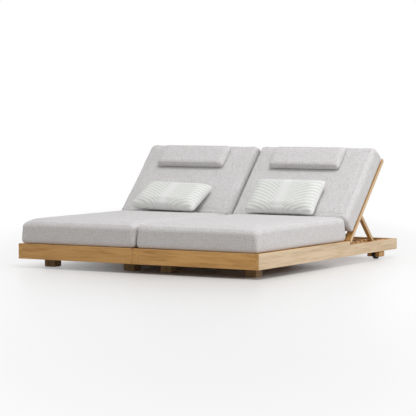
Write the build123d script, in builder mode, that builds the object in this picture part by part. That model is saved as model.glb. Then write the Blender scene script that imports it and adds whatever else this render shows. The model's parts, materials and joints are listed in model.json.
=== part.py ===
# Double chaise lounger: two mirrored teak sun beds, bolted side by side, with deep box cushions.
# Millimetres. X runs across the pair, Y from the foot end to the head end, Z up from the floor.
# The origin is on the floor under the middle of the pair. Both backs stand at their photographed angle.
import os
from math import cos, radians, sin

from build123d import *

os.makedirs("parts", exist_ok=True)

# Whole lounger
module_width = 900.0
lounger_length = 2020.0
floor_gap = 60.0
back_angle = 46.5

# Perimeter frame
rail_height = 100.0
rail_thickness = 30.0
rail_arris = 2.0
deck_length = 1271.0
joinery_gap = 1.0

# Back frame
back_length = 740.0
back_thickness = 25.0
stile_width = 49.0
stile_nose = 17.0
back_arris = 1.5
bottom_rail_width = 60.0
top_rail_width = 50.0
back_slat_width = 56.0
back_slat_thickness = 12.0
back_slat_margin = 110.0
back_slat_count = 8

# Seat deck
seat_slat_width = 70.0
seat_slat_thickness = 15.0
seat_slat_margin = 5.0
seat_slat_count = 12
ledge_width = 20.0
ledge_height = 25.0
runner_width = 30.0
runner_height = 45.0

# Cross bearers, feet and glides
bearer_height = 20.0
foot_size = 80.0
foot_inset_side = 100.0
foot_inset_front = 153.0
foot_bearer_overhang = 5.0
foot_round = 3.0
glide_height = 3.0
glide_border = 6.0

# Transport wheels
cheek_thickness = 27.0
cheek_length = 85.0
cheek_height = 43.0
cheek_inset_rear = 143.0
cheek_round = 7.0
wheel_slot = 36.0
wheel_radius = 28.0
wheel_width = 31.0
wheel_round = 5.0
wheel_bore_radius = 4.08
wheel_recess_radius = 20.0
wheel_recess_depth = 3.0
wheel_boss_radius = 9.0
axle_radius = 4.0
axle_grip = 15.0
wheel_bearer_margin = 7.0

# Ratchet racks and the prop that stands in them
rack_thickness = 24.0
rack_inset = 80.0
rack_tip_height = 81.0
rack_landing_length = 75.0
notch_pitch = 70.0
notch_depth = 15.3
notch_slope = 24.0
notches_ahead = 5
notches_behind = 2
prop_pivot_along = 307.0
prop_pivot_below = 13.0
prop_width = 26.0
prop_thickness = 24.0
prop_lane_gap = 1.0
prop_bar_height = 133.0
prop_bar_radius = 7.0
prop_lean = 44.3
prop_pin_radius = 5.0
prop_pin_bore_radius = 5.06
prop_pin_grip = 34.0
prop_cap_radius = 9.0
prop_cap_thickness = 3.0
bar_seat_gap = 0.3

# Hinges at the fold
hinge_inset = 130.0
hinge_length = 60.0
hinge_leaf_depth = 26.0
hinge_leaf_thickness = 2.5
knuckle_radius = 5.0
knuckle_clearance = 0.5
knuckle_share = 1 / 3
knuckle_end_gap = 0.3
hinge_pin_radius = 2.5
hinge_pin_bore_radius = 2.56

# Bolts that join the two modules
joining_bolt_radius = 4.0
joining_bolt_head_radius = 9.0
joining_bolt_head_height = 5.0
joining_bolt_drop = 62.0
joining_bolt_place_shares = (-0.3, 0.3)
bolt_clearance = 0.1

# Box cushions
cushion_seat_gap = 0.3
cushion_corner = 26.0
seat_cushion_height = 158.0
seat_cushion_crown = 9.0
seat_cushion_side_inset = 18.0
seat_cushion_seam_inset = 6.0
seat_cushion_front_inset = 7.0
seat_cushion_rear_inset = 34.5
back_cushion_height = 143.0
back_cushion_crown = 4.0
back_cushion_side_inset = 12.0
back_cushion_seam_inset = 8.0
back_cushion_start = 76.0
back_cushion_end_margin = 18.0
back_cushion_heel = 14.0
wall_height_shares = (0.0, 0.1, 0.45, 0.8, 0.94, 1.0)
wall_inset_shares = (0.3, 0.06, 0.0, 0.08, 0.4, 1.0)
heel_bulge_shares = (0.0, 0.5, 1.0, 0.4, 0.1, 0.0)
wall_draw = 21.0
crown_height_shares = (0.0, 0.5, 0.84, 1.0)
crown_inset_shares = (0.0, 0.24, 0.52, 0.86)
seat_crown_reach_share = 25 / 73
back_crown_reach_share = 150 / 323

# Head cushions
head_cushion_width = 512.0
head_cushion_length = 205.0
head_cushion_height = 57.0
head_cushion_drop = 150.0
head_cushion_corner = 22.0
head_cushion_draw = 26.0
head_cushion_settle = 0.1
head_height_shares = (0.0, 0.14, 0.5, 0.74, 0.92, 1.0)
head_inset_shares = (0.25, 0.05, 0.0, 0.12, 0.5, 1.0)
head_cushion_places = {"right": 433.0, "left": 476.0}

# Throw pillows
pillow_width = 496.0
pillow_length = 300.0
pillow_height = 112.0
pillow_corner = 26.0
pillow_bow = 8.0
pillow_draw = 92.0
pillow_edge = 4.0
pillow_height_shares = (0.0, 0.36, 0.66, 0.88, 1.0)
pillow_inset_shares = (0.0, 0.06, 0.22, 0.52, 1.0)
pillow_bow_shares = (1.0, 0.6, -0.3, -1.2, -2.0)
pillow_places = {
    "right": dict(across=424.0, stand_off=0.0, foot_rise=5.9, lean=0.0, roll=0.0),
    "left": dict(across=462.0, stand_off=23.8, foot_rise=24.9, lean=16.5, roll=-2.5),
}

# Working sizes
over_cut = 1.0
front_y = -lounger_length / 2
rear_y = lounger_length / 2
fold_y = front_y + deck_length
deck_z = floor_gap + rail_height
rear_rail_top = deck_z - back_thickness - joinery_gap
bearer_top = floor_gap + bearer_height
module_inner = module_width - rail_thickness
stile_inner = module_width - stile_width
prop_outer = stile_inner - prop_lane_gap
prop_inner = prop_outer - prop_width
rack_outer = module_width - rack_inset
rack_inner = rack_outer - rack_thickness
wheel_block_width = 2 * cheek_thickness + wheel_slot
wheel_y = rear_y - cheek_inset_rear - cheek_length / 2
seat_top_z = deck_z + cushion_seat_gap + seat_cushion_height + seat_cushion_crown
back_face_out = cushion_seat_gap + back_cushion_height + back_cushion_crown
back_cushion_end = back_length - back_cushion_end_margin
back_cushion_run = back_cushion_end - back_cushion_start
head_cushion_along = back_length - head_cushion_drop

# The back frame's own planes: across and along its face, and its side elevation
back_up = (0, cos(radians(back_angle)), sin(radians(back_angle)))
back_out = (0, -sin(radians(back_angle)), cos(radians(back_angle)))
back_face = Plane(origin=(0, fold_y, deck_z), x_dir=(1, 0, 0), z_dir=back_out)
back_side = Plane(origin=(0, fold_y, deck_z), x_dir=back_up, z_dir=(1, 0, 0))

# The prop, in the same side elevation as the rails
pivot = back_side.from_local_coords((prop_pivot_along, -prop_pivot_below))
prop_length = (pivot.Z - prop_bar_height) / sin(radians(prop_lean))
bar_y = pivot.Y + prop_length * cos(radians(prop_lean))
prop_line = Plane(
    origin=(0, bar_y, prop_bar_height),
    x_dir=(0, -cos(radians(prop_lean)), sin(radians(prop_lean))),
    z_dir=(1, 0, 0),
)


def keep(part, name):
    """Label a finished piece and write it as its own STEP file."""
    part.label = name
    export_step(part, f"parts/{name}.step")


def across(hand, low, high):
    """Centre and width of a span measured out from the seam on one side of the pair."""
    return hand * (low + high) / 2, high - low


def both_lanes(low, high):
    """The same lane at each edge of a module, as spans from the seam."""
    return (low, high), (module_width - high, module_width - low)


def long_edges(piece, axis):
    """The edges of a straight timber that run along its length."""
    return piece.edges().filter_by(axis)


def box_outline(width, length, corner, grow_start=0.0):
    """A rounded rectangle on the current sketch plane, its lower end moved out by grow_start."""
    with Locations((0, -grow_start / 2)):
        RectangleRounded(width, length + grow_start, corner)


def pillow_outline(width, length, bow):
    """A pillow's edge: four sides that draw in or bow out between its corners."""
    half_width = width / 2
    half_length = length / 2
    with BuildLine() as seam:
        ThreePointArc((-half_width, -half_length), (0, -half_length + bow), (half_width, -half_length))
        ThreePointArc((half_width, -half_length), (half_width - bow, 0), (half_width, half_length))
        ThreePointArc((half_width, half_length), (0, half_length - bow), (-half_width, half_length))
        ThreePointArc((-half_width, half_length), (-half_width + bow, 0), (-half_width, -half_length))
    make_face(seam.edges())


def box_cushion(plane, width, length, height, crown, reach, heel, name):
    """A box cushion that lies on a plane: drawn-in walls, and a crown that rises over its reach."""
    with BuildPart() as cushion:
        for height_share, inset_share, heel_share in zip(
            wall_height_shares, wall_inset_shares, heel_bulge_shares
        ):
            inset = wall_draw * inset_share
            with BuildSketch(plane.offset(height * height_share)):
                box_outline(width - 2 * inset, length - 2 * inset, cushion_corner, heel * heel_share)
        loft()
        for height_share, inset_share in zip(crown_height_shares, crown_inset_shares):
            inset = wall_draw * wall_inset_shares[-1] + reach * inset_share
            with BuildSketch(plane.offset(height + crown * height_share)):
                box_outline(width - 2 * inset, length - 2 * inset, cushion_corner)
        loft()
    keep(cushion.part, name)


# The two modules, mirrored across the seam
for side, hand in (("right", 1), ("left", -1)):

    # Long side rails, full height beside the seat and stepped down beside the back
    for place, low in (("outer", module_inner), ("inner", 0.0)):
        centre_x, width = across(hand, low, low + rail_thickness)
        with BuildPart() as side_rail:
            with BuildSketch(Plane.YZ.offset(centre_x - width / 2)):
                with BuildLine():
                    Polyline(
                        (front_y, floor_gap),
                        (rear_y, floor_gap),
                        (rear_y, rear_rail_top),
                        (fold_y, rear_rail_top),
                        (fold_y, deck_z),
                        (front_y, deck_z),
                        close=True,
                    )
                make_face()
            extrude(amount=width)
            fillet(long_edges(side_rail, Axis.Y), rail_arris)
            if place == "inner":
                for share in joining_bolt_place_shares:
                    bolt_place = (share * lounger_length, deck_z - joining_bolt_drop)
                    with BuildSketch(Plane.YZ.offset(centre_x - width / 2)):
                        with Locations(bolt_place):
                            Circle(joining_bolt_radius + bolt_clearance)
                    extrude(amount=width, mode=Mode.SUBTRACT)
        keep(side_rail.part, f"{place}_side_rail_{side}")

    # End rails and the cross rail at the fold, butted between the side rails
    span_x, span_width = across(hand, rail_thickness, module_inner)
    with BuildPart() as front_rail:
        with BuildSketch(Plane.XY.offset(floor_gap)):
            with Locations((span_x, front_y + rail_thickness / 2)):
                Rectangle(span_width, rail_thickness)
        extrude(amount=rail_height)
        fillet(long_edges(front_rail, Axis.X), rail_arris)
    keep(front_rail.part, f"front_rail_{side}")

    with BuildPart() as rear_rail:
        with BuildSketch(Plane.XY.offset(floor_gap)):
            with Locations((span_x, rear_y - rail_thickness / 2)):
                Rectangle(span_width, rail_thickness)
        extrude(amount=rear_rail_top - floor_gap)
        fillet(long_edges(rear_rail, Axis.X), rail_arris)
    keep(rear_rail.part, f"rear_rail_{side}")

    hinge_centres = [
        hand * (hinge_inset + hinge_length / 2),
        hand * (module_width - hinge_inset - hinge_length / 2),
    ]
    with BuildPart() as hinge_rail:
        with BuildSketch(Plane.XY.offset(floor_gap)):
            with Locations((span_x, fold_y - rail_thickness / 2)):
                Rectangle(span_width, rail_thickness)
        extrude(amount=rail_height)
        with BuildSketch(Plane.XY.offset(deck_z)):
            with Locations(*[(x, fold_y - hinge_leaf_depth / 2) for x in hinge_centres]):
                Rectangle(hinge_length, hinge_leaf_depth)
        extrude(amount=-hinge_leaf_thickness, mode=Mode.SUBTRACT)
        for x in hinge_centres:
            with BuildSketch(Plane.YZ.offset(x - hinge_length / 2)):
                with Locations((fold_y, deck_z)):
                    Circle(knuckle_radius + knuckle_clearance)
            extrude(amount=hinge_length, mode=Mode.SUBTRACT)
    keep(hinge_rail.part, f"hinge_rail_{side}")

    # Flat bearers across the underside, over the feet and over the wheels
    foot_centre_y = front_y + foot_inset_front + foot_size / 2
    with BuildPart() as foot_bearer:
        with BuildSketch(Plane.XY.offset(floor_gap)):
            with Locations((span_x, foot_centre_y)):
                Rectangle(span_width, foot_size + 2 * foot_bearer_overhang)
        extrude(amount=bearer_height)
    keep(foot_bearer.part, f"foot_bearer_{side}")

    with BuildPart() as wheel_bearer:
        with BuildSketch(Plane.XY.offset(floor_gap)):
            with Locations((span_x, wheel_y)):
                Rectangle(span_width, cheek_length + 2 * wheel_bearer_margin)
        extrude(amount=bearer_height)
    keep(wheel_bearer.part, f"wheel_bearer_{side}")

    # Square front feet under the bearer
    foot_spans = both_lanes(foot_inset_side, foot_inset_side + foot_size)
    with BuildPart() as feet:
        with BuildSketch(Plane.XY.offset(glide_height)):
            with Locations(*[(across(hand, *span)[0], foot_centre_y) for span in foot_spans]):
                RectangleRounded(foot_size, foot_size, foot_round)
        extrude(amount=floor_gap - glide_height)
    keep(feet.part, f"front_feet_{side}")

    # Seat deck: ledges on the side rails, a runner down the middle, and cross slats on top
    slat_bottom = deck_z - seat_slat_thickness
    deck_start = front_y + rail_thickness
    deck_end = fold_y - rail_thickness
    deck_centre_y = (deck_start + deck_end) / 2
    with BuildPart() as ledges:
        with BuildSketch(Plane.XY.offset(slat_bottom - ledge_height)):
            for span in both_lanes(rail_thickness, rail_thickness + ledge_width):
                with Locations((across(hand, *span)[0], deck_centre_y)):
                    Rectangle(ledge_width, deck_end - deck_start)
        extrude(amount=ledge_height)
    keep(ledges.part, f"seat_ledges_{side}")

    with BuildPart() as runner:
        with BuildSketch(Plane.XY.offset(slat_bottom - runner_height)):
            with Locations((hand * module_width / 2, deck_centre_y)):
                Rectangle(runner_width, deck_end - deck_start)
        extrude(amount=runner_height)
    keep(runner.part, f"seat_runner_{side}")

    slat_run = deck_end - deck_start - 2 * seat_slat_margin - seat_slat_width
    with BuildPart() as seat_slats:
        with BuildSketch(Plane.XY.offset(slat_bottom)):
            with Locations((span_x, deck_centre_y)):
                with GridLocations(0, slat_run / (seat_slat_count - 1), 1, seat_slat_count):
                    Rectangle(span_width - 2 * joinery_gap, seat_slat_width)
        extrude(amount=seat_slat_thickness)
    keep(seat_slats.part, f"seat_slats_{side}")

    # Ratchet racks: toothed boards from the fold to the rear rail
    rack_start = fold_y
    rack_end = rear_y - rail_thickness
    tip_z = floor_gap + rack_tip_height
    bar_half = prop_bar_radius + bar_seat_gap
    rear_tip_z = prop_bar_height - bar_half
    with BuildPart() as racks:
        for span in both_lanes(rack_inner, rack_outer):
            centre_x, width = across(hand, *span)
            with BuildSketch(Plane.YZ.offset(centre_x - width / 2)):
                with BuildLine():
                    Polyline(
                        (bar_y - bar_half, prop_bar_height),
                        (bar_y - bar_half - notch_slope / 2, tip_z),
                        (rack_start + rack_landing_length, tip_z),
                        (rack_start + rack_landing_length, rear_rail_top),
                        (rack_start, rear_rail_top),
                        (rack_start, bearer_top),
                        (rack_end, bearer_top),
                        (rack_end, rear_tip_z),
                        (bar_y, rear_tip_z),
                    )
                    RadiusArc((bar_y, rear_tip_z), (bar_y - bar_half, prop_bar_height), bar_half)
                make_face()
                ahead = [bar_y - notch_pitch * (count + 1) for count in range(notches_ahead)]
                behind = [bar_y + notch_pitch * (count + 1) for count in range(notches_behind)]
                for notch_y, top in [(y, tip_z) for y in ahead] + [(y, rear_tip_z) for y in behind]:
                    floor_z = top - notch_depth
                    with BuildLine():
                        Polyline(
                            (notch_y - bar_half - notch_slope, top + over_cut),
                            (notch_y - bar_half, floor_z + bar_half),
                        )
                        ThreePointArc(
                            (notch_y - bar_half, floor_z + bar_half),
                            (notch_y, floor_z),
                            (notch_y + bar_half, floor_z + bar_half),
                        )
                        Polyline(
                            (notch_y + bar_half, floor_z + bar_half),
                            (notch_y + bar_half, top + over_cut),
                            (notch_y - bar_half - notch_slope, top + over_cut),
                        )
                    make_face(mode=Mode.SUBTRACT)
            extrude(amount=width)
    keep(racks.part, f"prop_racks_{side}")

    # Wheel cheeks: two rounded blocks each side of a wheel, bored blind for its axle
    block_spans = both_lanes(rail_thickness, rail_thickness + wheel_block_width)
    with BuildPart() as cheeks:
        for block_low, block_high in block_spans:
            for low in (block_low, block_high - cheek_thickness):
                centre_x, width = across(hand, low, low + cheek_thickness)
                with BuildSketch(Plane.YZ.offset(centre_x - width / 2)):
                    with Locations((wheel_y, floor_gap - cheek_height / 2)):
                        Rectangle(cheek_length, cheek_height)
                    fillet(vertices().group_by(Axis.Z)[0], cheek_round)
                extrude(amount=width)
            axle_centre = hand * (block_low + block_high) / 2
            axle_half = wheel_slot / 2 + axle_grip
            with BuildSketch(Plane.YZ.offset(axle_centre - axle_half)):
                with Locations((wheel_y, wheel_radius)):
                    Circle(axle_radius + bolt_clearance / 2)
            extrude(amount=2 * axle_half, mode=Mode.SUBTRACT)
    keep(cheeks.part, f"wheel_cheeks_{side}")

    # Wheels that turn on the fixed axles
    for place, (block_low, block_high) in zip(("inner", "outer"), block_spans):
        wheel_x = hand * (block_low + block_high) / 2
        with BuildPart() as wheel:
            with BuildSketch(Plane.YZ.offset(wheel_x - wheel_width / 2)):
                with Locations((wheel_y, wheel_radius)):
                    Circle(wheel_radius)
            extrude(amount=wheel_width)
            rims = wheel.edges().filter_by(GeomType.CIRCLE)
            fillet(rims, wheel_round)
            for face_x, inward in ((wheel_x - wheel_width / 2, 1), (wheel_x + wheel_width / 2, -1)):
                with BuildSketch(Plane.YZ.offset(face_x)):
                    with Locations((wheel_y, wheel_radius)):
                        Circle(wheel_recess_radius)
                        Circle(wheel_boss_radius, mode=Mode.SUBTRACT)
                extrude(amount=inward * wheel_recess_depth, mode=Mode.SUBTRACT)
            with BuildSketch(Plane.YZ.offset(wheel_x - wheel_width / 2)):
                with Locations((wheel_y, wheel_radius)):
                    Circle(wheel_bore_radius)
            extrude(amount=wheel_width, mode=Mode.SUBTRACT)
        keep(wheel.part, f"{place}_wheel_{side}")

    # Hinges: leaves let in flush, with the knuckles shared out along one pin
    knuckle_length = hinge_length * knuckle_share
    outer_knuckles = [-knuckle_length, knuckle_length]
    with BuildPart() as fixed_leaves:
        with BuildSketch(Plane.XY.offset(deck_z)):
            with Locations(*[(x, fold_y - hinge_leaf_depth / 2) for x in hinge_centres]):
                Rectangle(hinge_length, hinge_leaf_depth)
        extrude(amount=-hinge_leaf_thickness)
        for x in hinge_centres:
            with BuildSketch(Plane.YZ.offset(x - knuckle_length / 2)):
                with Locations((fold_y, deck_z)):
                    Circle(knuckle_radius + knuckle_clearance)
            extrude(amount=knuckle_length, mode=Mode.SUBTRACT)
            for shift in outer_knuckles:
                with BuildSketch(Plane.YZ.offset(x + shift - knuckle_length / 2)):
                    with Locations((fold_y, deck_z)):
                        Circle(knuckle_radius)
                extrude(amount=knuckle_length)
            with BuildSketch(Plane.YZ.offset(x - hinge_length / 2)):
                with Locations((fold_y, deck_z)):
                    Circle(hinge_pin_radius + bolt_clearance / 2)
            extrude(amount=hinge_length, mode=Mode.SUBTRACT)
    keep(fixed_leaves.part, f"fixed_hinge_leaves_{side}")

    with BuildPart() as moving_leaves:
        with BuildSketch(back_face):
            with Locations(*[(x, hinge_leaf_depth / 2) for x in hinge_centres]):
                Rectangle(hinge_length, hinge_leaf_depth)
        extrude(amount=-hinge_leaf_thickness)
        for x in hinge_centres:
            for shift in outer_knuckles:
                with BuildSketch(back_side.offset(x + shift - knuckle_length / 2)):
                    Circle(knuckle_radius + knuckle_clearance)
                extrude(amount=knuckle_length, mode=Mode.SUBTRACT)
            with BuildSketch(back_side.offset(x - knuckle_length / 2 + knuckle_end_gap)):
                Circle(knuckle_radius)
            extrude(amount=knuckle_length - 2 * knuckle_end_gap)
            with BuildSketch(back_side.offset(x - hinge_length / 2)):
                Circle(hinge_pin_bore_radius)
            extrude(amount=hinge_length, mode=Mode.SUBTRACT)
    keep(moving_leaves.part, f"moving_hinge_leaves_{side}")

    # Back frame: two stiles with rounded noses, a rail at each end, and lengthwise slats
    with BuildPart() as stiles:
        for low, high in both_lanes(stile_inner, module_width):
            centre_x, width = across(hand, low, high)
            with BuildSketch(back_side.offset(centre_x - width / 2)):
                with Locations(((joinery_gap + back_length) / 2, -back_thickness / 2)):
                    Rectangle(back_length - joinery_gap, back_thickness)
                nose = vertices().sort_by_distance(back_side.from_local_coords((back_length, 0)))[0]
                fillet(nose, stile_nose)
            extrude(amount=width)
            if hand * centre_x > module_width / 2:
                pin_start = prop_outer
            else:
                pin_start = module_width - prop_outer - prop_pin_grip
            pin_centre, pin_span = across(hand, pin_start, pin_start + prop_pin_grip)
            with BuildSketch(back_side.offset(pin_centre - pin_span / 2)):
                with Locations((prop_pivot_along, -prop_pivot_below)):
                    Circle(prop_pin_radius + bolt_clearance / 2)
            extrude(amount=pin_span, mode=Mode.SUBTRACT)
    keep(stiles.part, f"back_stiles_{side}")

    frame_x, frame_width = across(hand, stile_width, stile_inner)
    with BuildPart() as bottom_rail:
        with BuildSketch(back_face):
            with Locations((frame_x, joinery_gap + bottom_rail_width / 2)):
                Rectangle(frame_width, bottom_rail_width)
        extrude(amount=-back_thickness)
        with BuildSketch(back_face):
            with Locations(*[(x, hinge_leaf_depth / 2) for x in hinge_centres]):
                Rectangle(hinge_length, hinge_leaf_depth)
        extrude(amount=-hinge_leaf_thickness, mode=Mode.SUBTRACT)
        for x in hinge_centres:
            with BuildSketch(back_side.offset(x - hinge_length / 2)):
                Circle(knuckle_radius + knuckle_clearance)
            extrude(amount=hinge_length, mode=Mode.SUBTRACT)
    keep(bottom_rail.part, f"back_bottom_rail_{side}")

    with BuildPart() as top_rail:
        with BuildSketch(back_face):
            with Locations((frame_x, back_length - top_rail_width / 2)):
                Rectangle(frame_width, top_rail_width)
        extrude(amount=-back_thickness)
        fillet(long_edges(top_rail, Axis.X), back_arris)
    keep(top_rail.part, f"back_top_rail_{side}")

    slat_start = joinery_gap + bottom_rail_width
    slat_end = back_length - top_rail_width
    slat_spread = module_width - 2 * back_slat_margin - back_slat_width
    with BuildPart() as back_slats:
        with BuildSketch(back_face):
            with Locations((frame_x, (slat_start + slat_end) / 2)):
                with GridLocations(slat_spread / (back_slat_count - 1), 0, back_slat_count, 1):
                    Rectangle(back_slat_width, slat_end - slat_start)
        extrude(amount=-back_slat_thickness)
    keep(back_slats.part, f"back_slats_{side}")

    # Prop: two legs hung from the stiles, with a bar through their feet that drops into the racks
    leg_spans = both_lanes(prop_inner, prop_outer)
    with BuildPart() as legs:
        for span in leg_spans:
            centre_x, width = across(hand, *span)
            with BuildSketch(prop_line.offset(centre_x - width / 2)):
                with Locations((prop_length / 2, 0)):
                    SlotCenterToCenter(prop_length, prop_thickness)
                with Locations((prop_length, 0)):
                    Circle(prop_pin_bore_radius, mode=Mode.SUBTRACT)
                Circle(prop_bar_radius + bolt_clearance / 2, mode=Mode.SUBTRACT)
            extrude(amount=width)
    keep(legs.part, f"prop_legs_{side}")

    bar_low = module_width - prop_outer
    bar_x, bar_length = across(hand, bar_low, prop_outer)
    with BuildPart() as prop_bar:
        with BuildSketch(prop_line.offset(bar_x - bar_length / 2)):
            Circle(prop_bar_radius)
        extrude(amount=bar_length)
    keep(prop_bar.part, f"prop_bar_{side}")

    pin_length = prop_pin_grip + prop_width + joinery_gap / 2
    with BuildPart() as prop_pins:
        for low, high in both_lanes(prop_outer + prop_pin_grip - pin_length, prop_outer + prop_pin_grip):
            centre_x, width = across(hand, low, high)
            with BuildSketch(back_side.offset(centre_x - width / 2)):
                with Locations((prop_pivot_along, -prop_pivot_below)):
                    Circle(prop_pin_radius)
            extrude(amount=width)
        cap_high = prop_inner - joinery_gap / 2
        for low, high in both_lanes(cap_high - prop_cap_thickness, cap_high):
            centre_x, width = across(hand, low, high)
            with BuildSketch(back_side.offset(centre_x - width / 2)):
                with Locations((prop_pivot_along, -prop_pivot_below)):
                    Circle(prop_cap_radius)
            extrude(amount=width)
    keep(prop_pins.part, f"prop_pins_{side}")

    # Seat cushion on the slats
    seat_x, seat_width = across(hand, seat_cushion_seam_inset, module_width - seat_cushion_side_inset)
    seat_start = front_y + seat_cushion_front_inset
    seat_end = fold_y - seat_cushion_rear_inset
    seat_plane = Plane(
        origin=(seat_x, (seat_start + seat_end) / 2, deck_z + cushion_seat_gap),
        x_dir=(1, 0, 0),
        z_dir=(0, 0, 1),
    )
    box_cushion(
        seat_plane,
        seat_width,
        seat_end - seat_start,
        seat_cushion_height,
        seat_cushion_crown,
        seat_width * seat_crown_reach_share,
        0.0,
        f"seat_cushion_{side}",
    )

    # Back cushion on the back frame, its lower end swelling out behind the seat cushion
    rest_x, rest_width = across(hand, back_cushion_seam_inset, module_width - back_cushion_side_inset)
    rest_centre = back_face.from_local_coords(
        (rest_x, (back_cushion_start + back_cushion_end) / 2, cushion_seat_gap)
    )
    box_cushion(
        Plane(origin=rest_centre, x_dir=(1, 0, 0), z_dir=back_out),
        rest_width,
        back_cushion_run,
        back_cushion_height,
        back_cushion_crown,
        back_cushion_run * back_crown_reach_share,
        back_cushion_heel,
        f"back_cushion_{side}",
    )

    # Head cushion laid high on the back cushion
    head_base = back_face_out + cushion_seat_gap - head_cushion_settle
    head_centre = back_face.from_local_coords(
        (hand * head_cushion_places[side], head_cushion_along, head_base)
    )
    head_plane = Plane(origin=head_centre, x_dir=(1, 0, 0), z_dir=back_out)
    with BuildPart() as head_cushion:
        for height_share, inset_share in zip(head_height_shares, head_inset_shares):
            inset = head_cushion_draw * inset_share
            with BuildSketch(head_plane.offset(head_cushion_height * height_share)):
                box_outline(
                    head_cushion_width - 2 * inset,
                    head_cushion_length - 2 * inset,
                    head_cushion_corner,
                )
        loft()
    keep(head_cushion.part, f"head_cushion_{side}")

    # Throw pillow: two bulging faces that meet at one seam, leant on the back cushion
    place = pillow_places[side]
    tilt = radians(back_angle - place["lean"])
    roll = radians(place["roll"])
    pillow_out = back_face_out + pillow_height / 2 + place["stand_off"]
    pillow_rise = seat_top_z + place["foot_rise"] + pillow_length / 2 * sin(tilt) - deck_z
    pillow_along = (pillow_rise - pillow_out * cos(radians(back_angle))) / sin(radians(back_angle))
    pillow_plane = Plane(
        origin=back_face.from_local_coords((hand * place["across"], pillow_along, pillow_out)),
        x_dir=(cos(roll), sin(roll) * cos(tilt), sin(roll) * sin(tilt)),
        z_dir=(0, -sin(tilt), cos(tilt)),
    )
    with BuildPart() as pillow:
        for face in (1, -1):
            for height_share, inset_share, bow_share in zip(
                pillow_height_shares, pillow_inset_shares, pillow_bow_shares
            ):
                inset = pillow_draw * inset_share
                rise = pillow_edge / 2 + (pillow_height - pillow_edge) / 2 * height_share
                with BuildSketch(pillow_plane.offset(face * rise)) as outline:
                    pillow_outline(
                        pillow_width - 2 * inset,
                        pillow_length - 2 * inset,
                        pillow_bow * bow_share,
                    )
                    fillet(outline.vertices(), pillow_corner)
            loft()
        with BuildSketch(pillow_plane.offset(-pillow_edge / 2)) as outline:
            pillow_outline(pillow_width, pillow_length, pillow_bow)
            fillet(outline.vertices(), pillow_corner)
        extrude(amount=pillow_edge)
    keep(pillow.part, f"throw_pillow_{side}")

# Hinge pins, two to a module
with BuildPart() as hinge_pins:
    for hand in (1, -1):
        for low, high in both_lanes(hinge_inset, hinge_inset + hinge_length):
            centre_x, width = across(hand, low, high)
            with BuildSketch(Plane.YZ.offset(centre_x - width / 2)):
                with Locations((fold_y, deck_z)):
                    Circle(hinge_pin_radius)
            extrude(amount=width)
keep(hinge_pins.part, "hinge_pins")

# Wheel axles, blind in their cheeks
with BuildPart() as wheel_axles:
    for hand in (1, -1):
        for block_low, block_high in both_lanes(rail_thickness, rail_thickness + wheel_block_width):
            centre_x = hand * (block_low + block_high) / 2
            axle_half = wheel_slot / 2 + axle_grip
            with BuildSketch(Plane.YZ.offset(centre_x - axle_half)):
                with Locations((wheel_y, wheel_radius)):
                    Circle(axle_radius)
            extrude(amount=2 * axle_half)
keep(wheel_axles.part, "wheel_axles")

# Floor glides under the front feet
with BuildPart() as glides:
    with BuildSketch(Plane.XY):
        for hand in (1, -1):
            for span in both_lanes(foot_inset_side, foot_inset_side + foot_size):
                with Locations((across(hand, *span)[0], front_y + foot_inset_front + foot_size / 2)):
                    RectangleRounded(foot_size - glide_border, foot_size - glide_border, foot_round)
    extrude(amount=glide_height)
keep(glides.part, "foot_glides")

# Bolts that clamp the two inner side rails together
with BuildPart() as joining_bolts:
    for share in joining_bolt_place_shares:
        place = (share * lounger_length, deck_z - joining_bolt_drop)
        with BuildSketch(Plane.YZ.offset(-rail_thickness)):
            with Locations(place):
                Circle(joining_bolt_radius)
        extrude(amount=2 * rail_thickness)
        for face_x, outward in ((rail_thickness, 1), (-rail_thickness, -1)):
            with BuildSketch(Plane.YZ.offset(face_x)):
                with Locations(place):
                    RegularPolygon(joining_bolt_head_radius, 6)
            extrude(amount=outward * joining_bolt_head_height)
keep(joining_bolts.part, "joining_bolts")
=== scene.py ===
import json
from math import exp, pi, radians, sin

import bmesh
import bpy
from mathutils import Matrix, Vector, noise
from mathutils.bvhtree import BVHTree


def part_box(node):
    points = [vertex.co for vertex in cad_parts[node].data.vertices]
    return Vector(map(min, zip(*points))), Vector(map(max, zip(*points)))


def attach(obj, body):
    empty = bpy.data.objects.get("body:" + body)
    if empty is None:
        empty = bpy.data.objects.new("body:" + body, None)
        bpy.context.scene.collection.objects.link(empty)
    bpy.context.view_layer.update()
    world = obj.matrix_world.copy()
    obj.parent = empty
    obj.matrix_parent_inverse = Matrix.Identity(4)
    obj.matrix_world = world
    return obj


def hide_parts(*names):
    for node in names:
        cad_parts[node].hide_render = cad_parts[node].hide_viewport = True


# Double chaise lounger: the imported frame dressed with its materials, cushions and pillows.
# Metres, in the frame's own axes: X across the pair, Y from the foot end to the head end, Z up.
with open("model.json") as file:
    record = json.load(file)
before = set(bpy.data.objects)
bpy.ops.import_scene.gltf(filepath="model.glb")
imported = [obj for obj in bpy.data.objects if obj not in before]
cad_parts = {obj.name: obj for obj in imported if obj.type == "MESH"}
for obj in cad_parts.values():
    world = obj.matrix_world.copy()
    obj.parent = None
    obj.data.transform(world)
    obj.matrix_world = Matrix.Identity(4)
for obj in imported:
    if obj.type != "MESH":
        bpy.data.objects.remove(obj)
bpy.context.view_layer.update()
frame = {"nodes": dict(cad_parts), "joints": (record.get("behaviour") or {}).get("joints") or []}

# Camera, fitted to the photograph's rails and feet
frame_pixels = 416
focal_pixels = 1932.2
sensor_width = 36.0
camera_place = (6.5484, -11.3495, 1.0947)
camera_drop = radians(3.1681)
camera_turn = radians(30.1566)

# Driving sizes of the lounger that the dressing needs
back_angle = radians(46.5)
prop_lean = radians(44.3)
seat_slat_pitch = 0.1028
seat_slat_start = -0.9914
back_slat_pitch = 0.0891
fold_place = frame["joints"][0]["pos_m"]
deck_z = fold_place[2]
fold_y = fold_place[1]

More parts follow.
